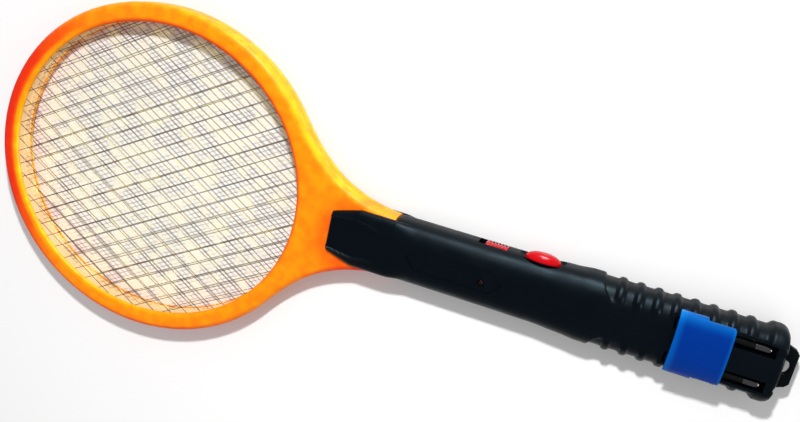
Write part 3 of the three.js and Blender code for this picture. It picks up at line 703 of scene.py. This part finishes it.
def handle_stations():
    """Places along the handle, close together over the ribs and the rounded end."""
    stations = [HANDLE_START, 151.5, 151.9, 152.5, 153.5]
    grip_x = 262.0
    x = 156.0
    while x < grip_x:
        stations.append(x)
        x += 1.5 if x < 168 else 3.0
    x = grip_x
    while x < END_ROUND_X - 0.1:
        stations.append(x)
        x += 0.55
    reach = HANDLE_END - END_ROUND_X
    stations += [END_ROUND_X + reach * math.sin(math.pi / 2 * k / 8) for k in range(9)]
    return stations


TONGUE_WIDTHS = [(115, 11.3), (117, 12.1), (131, 16.3), (140, 16.4), (162, 16.4)]
TONGUE_FOOT, TONGUE_SIDE = 8.3, 9.2
# The tongue's own surface ends here, and the handle's start swells to meet it.
TONGUE_END, ROOT_END = 152, 164


def tongue_half_width(x):
    for (xa, wa), (xb, wb) in zip(TONGUE_WIDTHS, TONGUE_WIDTHS[1:]):
        if xa <= x <= xb:
            return wa + (wb - wa) * (x - xa) / (xb - xa)
    return TONGUE_WIDTHS[-1][1]


def tongue_top(x, s):
    """Height of the tongue at station x and sideways fraction s: a crown cut by a sunken panel."""
    crown = 13.1 + 0.7 * smoothstep(115, 150, x)
    flat = 12.0 + 1.7 * smoothstep(108, 160, x)
    nose = 1.3 * round_over(-x, -116.6, 1.6)
    curve = TONGUE_SIDE + (crown - TONGUE_SIDE) * (1 - min(1.0, abs(s)) ** 2.7) ** (1 / 2.2)
    fade = 1 - smoothstep(140, 150, x)
    sunken = 0.6 * fade * smoothstep(0, 0.2, curve - flat)
    bead = 0.3 * fade * math.exp(-((curve - flat + 0.04) / 0.08) ** 2)
    return max(min(curve, flat) - sunken + bead - nose, TONGUE_SIDE)


def root_point(x, angle):
    """Outer surface of the handle, swollen near its start to take in the tongue."""
    y, z = handle_point(x, angle)
    if x > ROOT_END:
        return y, z
    radius = math.hypot(y, z)
    tongue_x = min(x, TONGUE_END)
    width = tongue_half_width(tongue_x)
    fade = 1 - smoothstep(HANDLE_START, ROOT_END, x)
    most, finest = 2.6, 0.05
    extra = most
    while extra > 0:
        py, pz = y * (1 + extra / radius), z * (1 + extra / radius)
        if abs(py) <= width and TONGUE_FOOT <= abs(pz) <= tongue_top(tongue_x, py / width):
            break
        extra -= finest
    grow = 1 + max(0.0, extra) * fade / radius
    return y * grow, max(z * grow, REST_Z)


def shell_half(name, side):
    """Half of the handle as a C-shaped shell, from the split at the mid-plane."""
    steps = 60
    angles = [side * math.pi * (0.0001 + 0.9998 * k / steps) for k in range(steps + 1)]
    loops = []
    for x in handle_stations():
        softened = 0.18 if x < 151.4 else 0.06 if x < 151.8 else 0.0
        scale = 1 - softened / 14
        inside_w = 15.2 + smoothstep(235, 262, x)
        outside = [root_point(x, angle) for angle in angles]
        inside = [superellipse(inside_w, 11.8, angle) for angle in reversed(angles)]
        ring = [(x, y * scale, side * max(PARTING, side * z * scale)) for y, z in outside]
        ring += [(x, y, side * max(PARTING, side * z)) for y, z in inside]
        loops.append(ring)
    points, faces = loft(loops)
    return make_object(name, points, faces, BLACK)


def tongue(side):
    """The paddle over the neck."""
    columns = 90
    loops = []
    for x in (TONGUE_WIDTHS[0][0] + 0.5 * k for k in range(74)):
        width = tongue_half_width(x)
        ring = []
        for k in range(columns + 1):
            s = math.sin((-1 + 2 * k / columns) * math.pi / 2)
            ring.append((x, s * width, side * tongue_top(x, s)))
        loops.append(ring + [(x, width, side * TONGUE_FOOT), (x, -width, side * TONGUE_FOOT)])
    return tool_object(loft(loops))


BUTTON_X, BUTTON_A, BUTTON_C, BUTTON_TOP = 232.4, 9.8, 4.9, 20.8
SCOOP_Y, SCOOP_LENGTH, SCOOP_DROP, SCOOP_DEPTH = 18, 12.6, 5.2, 10.4
PIN_ROWS = {"left": 9.5, "right": -9.5}
PIN_Z = 11
LAMP_AT = (204.7, -1.6, 0)


def oval(a, c, y, sides):
    """A loop around the button's axis at height y, with half axes a along x and c along z."""
    turns = [2 * math.pi * m / sides for m in range(sides)]
    return [(BUTTON_X + a * math.cos(turn), y, c * math.sin(turn)) for turn in turns]


def button_plug(grow, y0, y1):
    """A straight plug of the button's outline, grown sideways."""
    return loft([oval(BUTTON_A + grow, BUTTON_C + grow, y, 48) for y in (y0, y1)])


def scoop(rings=24):
    """An ellipsoid that cuts the finger recess around the button."""
    loops = []
    for k in range(1, rings):
        angle = math.pi * k / rings
        spread = math.sin(angle)
        y = SCOOP_Y - SCOOP_DROP * math.cos(angle)
        loops.append(oval(SCOOP_LENGTH * spread, SCOOP_DEPTH * spread, y, 48))
    return loft(loops)


def cut_common(shell):
    """What both halves share: button recess and collar, switch slot, and the loop's seat."""
    lining = block(BUTTON_X - 13.4, BUTTON_X + 13.4, 9.9, 15.2, -8.8, 8.8)
    cut(shell, tool_object(lining), "UNION")
    cut(shell, tool_object(scoop()))
    cut(shell, tool_object(button_plug(1.2, 10.2, 16.2)), "UNION")
    cut(shell, tool_object(button_plug(0.35, 8, 22)))
    switch_slot = block(197.0, 213.6, 10, 22, -4.5, 4.5)
    flange_seat = block(351.5, 356.0, -14, 14, -2, 2)
    loop_gap = block(351.8, 360.0, -12.6, 12.6, -2, 2)
    for opening in (switch_slot, flange_seat, loop_gap):
        cut(shell, tool_object(opening))


def split_trim(shell, side):
    """Takes off whatever a joined tool left across the mid-plane."""
    cut(shell, tool_object(block(100, 380, -40, 40, *sorted((side * PARTING, -side * 30)))))


def label_recess():
    """Cutter for the shallow six-sided recess on the front."""
    outline = [(162, 0), (168, 6.4), (210, 6.4), (216, 0), (210, -6.4), (168, -6.4)]
    return prism(outline, 13.2, 18)


front = shell_half("shell_front", 1)
cut(front, tongue(1), "UNION")
channel_walls = [block(302, 357, y - 4.6, y + 4.6, 6.1, 12.6) for y in PIN_ROWS.values()]
cut(front, tool_object(joined(channel_walls)), "UNION")
cut_common(front)
split_trim(front, 1)
channels = [block(303.5, 353.2, y - 3, y + 3, 7.6, 22) for y in PIN_ROWS.values()]
end_bores = [lathe("x", (0, y, PIN_Z), [(340, 2.15), (364, 2.15)]) for y in PIN_ROWS.values()]
lamp_hole = lathe("z", LAMP_AT, [(10, 1.8), (20, 1.8)])
for opening in (joined(channels), joined(end_bores), label_recess(), lamp_hole):
    cut(front, tool_object(opening))
finish_mesh(front, 30)
shown(front, "handle", "handle_shell", "front_shell")

SCREWS = {
    "shell_screw_1": (215, -12.2), "shell_screw_2": (267.8, 12), "shell_screw_3": (267.8, -12),
    "shell_screw_4": (340, 0), "neck_screw_1": (161, 8.8), "neck_screw_2": (161, -8.8),
}
rear = shell_half("shell_rear", -1)
cut(rear, tongue(-1), "UNION")
cut_common(rear)
split_trim(rear, -1)
screw_wells = [lathe("z", (x, y, 0), [(-20, 2.5), (-9.6, 2.5)]) for x, y in SCREWS.values()]
below_rest = block(100, 380, -40, 40, -30, REST_Z)
for opening in (joined(screw_wells), below_rest):
    cut(rear, tool_object(opening))
finish_mesh(rear, 30)
shown(rear, "handle", "handle_shell", "rear_shell")


# ---------------------------------------------------------------- small pieces

def cross_screw(name, x, y):
    """A screw driven up from the back: domed head with a cross recess, and a plain shank."""
    profile = [(-9.9, 0.05), (-9.9, 2.1), (-11.3, 2.1), (-11.9, 1.75), (-12.1, 1.2), (-12.15, 0.05)]
    head = make_object("head_" + name, *lathe("z", (x, y, 0), profile), STEEL)
    long, thin = 1.25, 0.28
    cross = joined([block(x - u, x + u, y - v, y + v, -13, -11.3) for u, v in ((long, thin), (thin, long))])
    cut(head, tool_object(cross))
    cut(head, tool_object(lathe("z", (x, y, 0), [(-10.2, 0.95), (7.8, 0.8)], 20)), "UNION")
    finish_mesh(head)
    return shown(head, "handle", "screw_steel", name)


for screw_name, (screw_x, screw_y) in SCREWS.items():
    cross_screw(screw_name, screw_x, screw_y)


def hang_loop():
    """Flat plate past the end wall with a D-shaped hole, held in the shells by a wider flange."""
    end, half_depth = HANDLE_END, 1.7
    outline = [(end - 5, 12.3), (end - 5, -12.3), (end + 1.5, -12.1), (end + 6.2, -10.2),
               (end + 8, -8.2), (end + 8, 8.2), (end + 6.2, 10.2), (end + 1.5, 12.1)]
    plate = make_object("loop_plate", *prism(outline, -half_depth, half_depth), LOOP_BLACK)
    hole_x, hole_reach, hole_half = end + 3, 2.6, 3.6
    hole = [(end + 0.4, -hole_half), (hole_x, -hole_half)]
    for k in range(1, 16):
        angle = math.pi * k / 16
        hole.append((hole_x + hole_reach * math.sin(angle), -hole_half * math.cos(angle)))
    hole += [(hole_x, hole_half), (end + 0.4, hole_half)]
    cut(plate, tool_object(prism(hole, -5, 5)))
    bevel_edges(plate, 0.45)
    flange = block(end - 6, end - 2.4, -13.6, 13.6, -half_depth, half_depth)
    cut(plate, tool_object(flange), "UNION")
    finish_mesh(plate)
    return shown(plate, "handle", "loop", "hang_loop")


hang_loop()


def switch_knob():
    """Slide knob: a rounded pad with a row of grooves for the finger, over a flange and a stem."""
    x0, x1, top, half = 200.8, 213.2, 17.9, 4.1
    steps, grooves, groove_depth, margin, corner_round = 112, 6, 0.85, 0.9, 0.7
    loops = []
    for k in range(steps + 1):
        x = x0 + (x1 - x0) * k / steps
        edge = min(x - x0, x1 - x)
        corner = corner_round * round_over(-edge, -corner_round, corner_round)
        phase = (x - x0 - margin) / (x1 - x0 - 2 * margin) * grooves
        wave = (0.5 - 0.5 * math.cos(2 * math.pi * phase)) ** 0.7
        groove = groove_depth * wave if 0 < phase < grooves else 0
        y = top - groove - corner
        row = []
        for m in range(9):
            t = -1 + 2 * m / 8
            row.append((x, y - 0.5 * abs(t) ** 4, (half - 0.35) * t))
        ring = row + [(x, y - 1.0, half), (x, 13.0, half), (x, 13.0, -half), (x, y - 1.0, -half)]
        loops.append(ring)
    pad = loft(loops)
    flange = block(193.6, 218.2, 12.7, 13.9, -4.9, 4.9)
    stem = block(205.6, 208.7, 10, 12.9, -1.3, 1.3)
    piece = make_object("knob_switch", *joined([pad, flange, stem]), RED, sharp=45)
    return shown(piece, "switch", "red_plastic", "switch_knob")


switch_knob()


def push_button():
    """Domed oval button with a slight finger dish, a skirt, a flange and a stem."""
    sides, dome_steps, height = 64, 16, 4.4
    base = BUTTON_TOP - height
    loops = [oval(BUTTON_A + 1.2, BUTTON_C + 1, y, sides) for y in (7.9, 9.5)]
    loops += [oval(BUTTON_A, BUTTON_C, y, sides) for y in (9.6, base)]
    for k in range(1, dome_steps + 1):
        angle = math.pi / 2 * k / dome_steps
        radius = max(0.02, math.cos(angle))
        dish = 0.35 * smoothstep(0.55, 0.0, radius)
        y = base + height * math.sin(angle) - dish
        loops.append(oval(BUTTON_A * radius, BUTTON_C * radius, y, sides))
    stem = lathe("y", (BUTTON_X, 0, 0), [(5.4, 1.6), (5.7, 1.9), (8.0, 1.9)])
    piece = make_object("button_dome", *joined([loft(loops), stem]), RED, sharp=40)
    return shown(piece, "button", "red_plastic", "push_button")


push_button()


# ---------------------------------------------------------------- plug

SLIDER_X0, SLIDER_NOTCH, SLIDER_X1 = 305.2, 318.6, 332.4
SLIDER_WIDE, SLIDER_NARROW = 16.8, 15.5


def saddle(x0, x1, half):
    """A curved skin over the grip, as a closed strip swept along x."""
    columns = 40
    outside, inside = (21.4, 17.4, 1), (20.9, 15.75, -1)
    loops = []
    for x in (x0, x0 + 0.35, x1 - 0.35, x1):
        ring = []
        for w, h, sign in (outside, inside):
            reach = math.acos((half / w) ** (POWER / 2))
            for k in range(columns + 1):
                t = k / columns if sign > 0 else 1 - k / columns
                angle = reach + (math.pi - 2 * reach) * t
                y, z = superellipse(w, h, angle)
                ring.append((x, y, z))
        loops.append(ring)
    return loft(loops)


def rounded_outline(corners, radius, steps=5):
    """A polygon in plan with every corner rounded."""
    points = []
    count = len(corners)
    for k, corner in enumerate(corners):
        here = Vector(corner)
        before = Vector(corners[k - 1]) - here
        after = Vector(corners[(k + 1) % count]) - here
        reach = min(radius, before.length * 0.45, after.length * 0.45)
        start, end = here + before.normalized() * reach, here + after.normalized() * reach
        for step in range(steps + 1):
            t = step / steps
            points.append(tuple(start.lerp(here, t).lerp(here.lerp(end, t), t)))
    return points


def plug_slider():
    """Saddle cover, wide over its first half and narrow over the second, with a filler and two legs."""
    piece = make_object("slider_cover", *saddle(SLIDER_X0, SLIDER_X1, SLIDER_WIDE), BLUE)
    beyond = 19
    lower = [(SLIDER_X0, -beyond), (SLIDER_NOTCH, -beyond),
             (SLIDER_NOTCH, -SLIDER_NARROW), (SLIDER_X1, -SLIDER_NARROW)]
    corners = lower + [(x, -y) for x, y in reversed(lower)]
    outline = rounded_outline(corners, 1.4)
    cut(piece, tool_object(prism(outline, 2, 22)), "INTERSECT")
    bevel_edges(piece, 0.55, 3, 40)
    filler = block(SLIDER_X0 + 0.6, SLIDER_X1 - 0.6, -8.6, 8.6, 14.6, 16.4)
    cut(piece, tool_object(filler), "UNION")
    rows = PIN_ROWS.values()
    legs = [block(SLIDER_X0 + 0.3, SLIDER_X1 - 5, y - 2.6, y + 2.6, 8.6, 15.4) for y in rows]
    cut(piece, tool_object(joined(legs)), "UNION")
    bores = [lathe("x", (0, y, PIN_Z), [(308.7, 2.3), (334, 2.3)]) for y in rows]
    cut(piece, tool_object(joined(bores)))
    finish_mesh(piece)
    return shown(piece, "plug", "blue_plastic", "plug_slider")


plug_slider()


def plug_pins():
    """Two pins with rounded tips, each with a sleeve over its root."""
    sleeve = [(310, 1.55), (310, 2.0), (342.2, 2.0), (342.6, 1.85), (342.6, 1.5)]
    tip = [(342.9, 1.2), (342.9, 2.0), (349.6, 2.0), (350.4, 1.75), (350.85, 1.3), (351, 0.6), (351, 0.05)]
    for hand, y in PIN_ROWS.items():
        cover = make_object("cover_" + hand, *lathe("x", (0, y, PIN_Z), sleeve), SLEEVE)
        shown(cover, "plug", "pin_sleeve", "pin_sleeve_" + hand)
        pin = make_object("pin_" + hand, *lathe("x", (0, y, PIN_Z), tip, 40), NICKEL)
        shown(pin, "plug", "pin_metal", "plug_pin_" + hand)


plug_pins()


def charge_lamp():
    """A small lens with a domed top, on two square legs."""
    profile = [(7, 1.5), (12.9, 1.5), (13.4, 1.35), (13.8, 0.9), (13.95, 0.05)]
    half = 0.25
    lamp_x, lamp_y, _ = LAMP_AT
    legs = [block(x - half, x + half, lamp_y - half, lamp_y + half, 0.3, 7.2)
            for x in (lamp_x - 0.6, lamp_x + 0.6)]
    piece = make_object("lamp_charge", *joined([lathe("z", LAMP_AT, profile), *legs]), LENS)
    return shown(piece, "handle", "lens_red", "charge_light")


charge_lamp()

# What stays as modelled inside the handle gets its own finish.
slots = {part["node"]: part["material_slot"] for part in record["subparts"]}
for node_name, node in frame["nodes"].items():
    if not node.hide_render:
        node.data.materials.clear()
        node.data.materials.append(INNER[slots[node_name]])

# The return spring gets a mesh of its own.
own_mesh(frame["nodes"]["button_spring"])


# ---------------------------------------------------------------- stage

CAMERA_AT = place(256.575, 150.775, 434.736)
CAMERA_RIGHT = Vector((0.93193995, 0.21384048, -0.29284837))
CAMERA_UP = Vector((-0.28164603, 0.9355446, -0.21314742))
SENSOR_WIDTH, FOCAL_LENGTH = 36, 38.025

camera = bpy.data.objects.new("camera", bpy.data.cameras.new("camera"))
bpy.context.scene.collection.objects.link(camera)
camera.data.sensor_width = SENSOR_WIDTH
camera.data.lens = FOCAL_LENGTH
camera.data.clip_start = 0.01
camera_back = CAMERA_RIGHT.cross(CAMERA_UP).normalized()
camera_turn = Matrix((CAMERA_RIGHT, CAMERA_UP, camera_back)).transposed()
camera.matrix_world = Matrix.Translation(CAMERA_AT) @ camera_turn.to_4x4()
bpy.context.scene.camera = camera


def floor():
    mesh = bpy.data.meshes.new("floor")
    size = 3.0
    corners = [(-size, -size), (size, -size), (size, size), (-size, size)]
    mesh.from_pydata([(x, y, FLOOR_Z) for x, y in corners], [], [(0, 1, 2, 3)])
    plane = bpy.data.objects.new("floor", mesh)
    bpy.context.scene.collection.objects.link(plane)
    material, nodes, links, shader = new_material("floor_white", (0.9, 0.9, 0.9), 0.9, specular=0.1)
    vary_color(nodes, links, shader, 4, (0.9, 0.9, 0.9), (0.92, 0.92, 0.92))
    mesh.materials.append(material)


def area_light(name, position, target, size, power, glossy=True, diffuse=True):
    """A round lamp whose light doesn't weaken with distance."""
    lamp = bpy.data.lights.new(name, "AREA")
    lamp.shape = "DISK"
    lamp.size = size
    lamp.energy = power
    lamp.use_nodes = True
    falloff = lamp.node_tree.nodes.new("ShaderNodeLightFalloff")
    falloff.inputs["Strength"].default_value = 1
    emission = lamp.node_tree.nodes["Emission"]
    lamp.node_tree.links.new(falloff.outputs["Constant"], emission.inputs["Strength"])
    piece = bpy.data.objects.new(name, lamp)
    bpy.context.scene.collection.objects.link(piece)
    piece.visible_glossy, piece.visible_diffuse = glossy, diffuse
    piece.location = position
    direction = Vector(target) - Vector(position)
    piece.rotation_euler = direction.to_track_quat("-Z", "Y").to_euler()


floor()

# The key light casts the drop shadow and leaves no highlight. The others leave only highlights.
area_light("key", (0.08, 0.315, 0.43), (0, 0, 0), 0.03, 8.9, glossy=False)
area_light("strip", (0.1, 1.05, 0.34), (0.08, 0, 0), 0.42, 14, diffuse=False)
area_light("spark", (0.1, 0.55, 0.5), (0.08, 0, 0), 0.05, 2.5, diffuse=False)
area_light("edge", (1.1, 0.1, 0.4), (0.2, 0, 0), 0.2, 8, diffuse=False)

world = bpy.data.worlds.new("studio")
bpy.context.scene.world = world
world.use_nodes = True
background = world.node_tree.nodes["Background"]
background.inputs["Color"].default_value = (1, 1, 1, 1)
background.inputs["Strength"].default_value = 0.52
bpy.context.scene.view_settings.view_transform = "Standard"
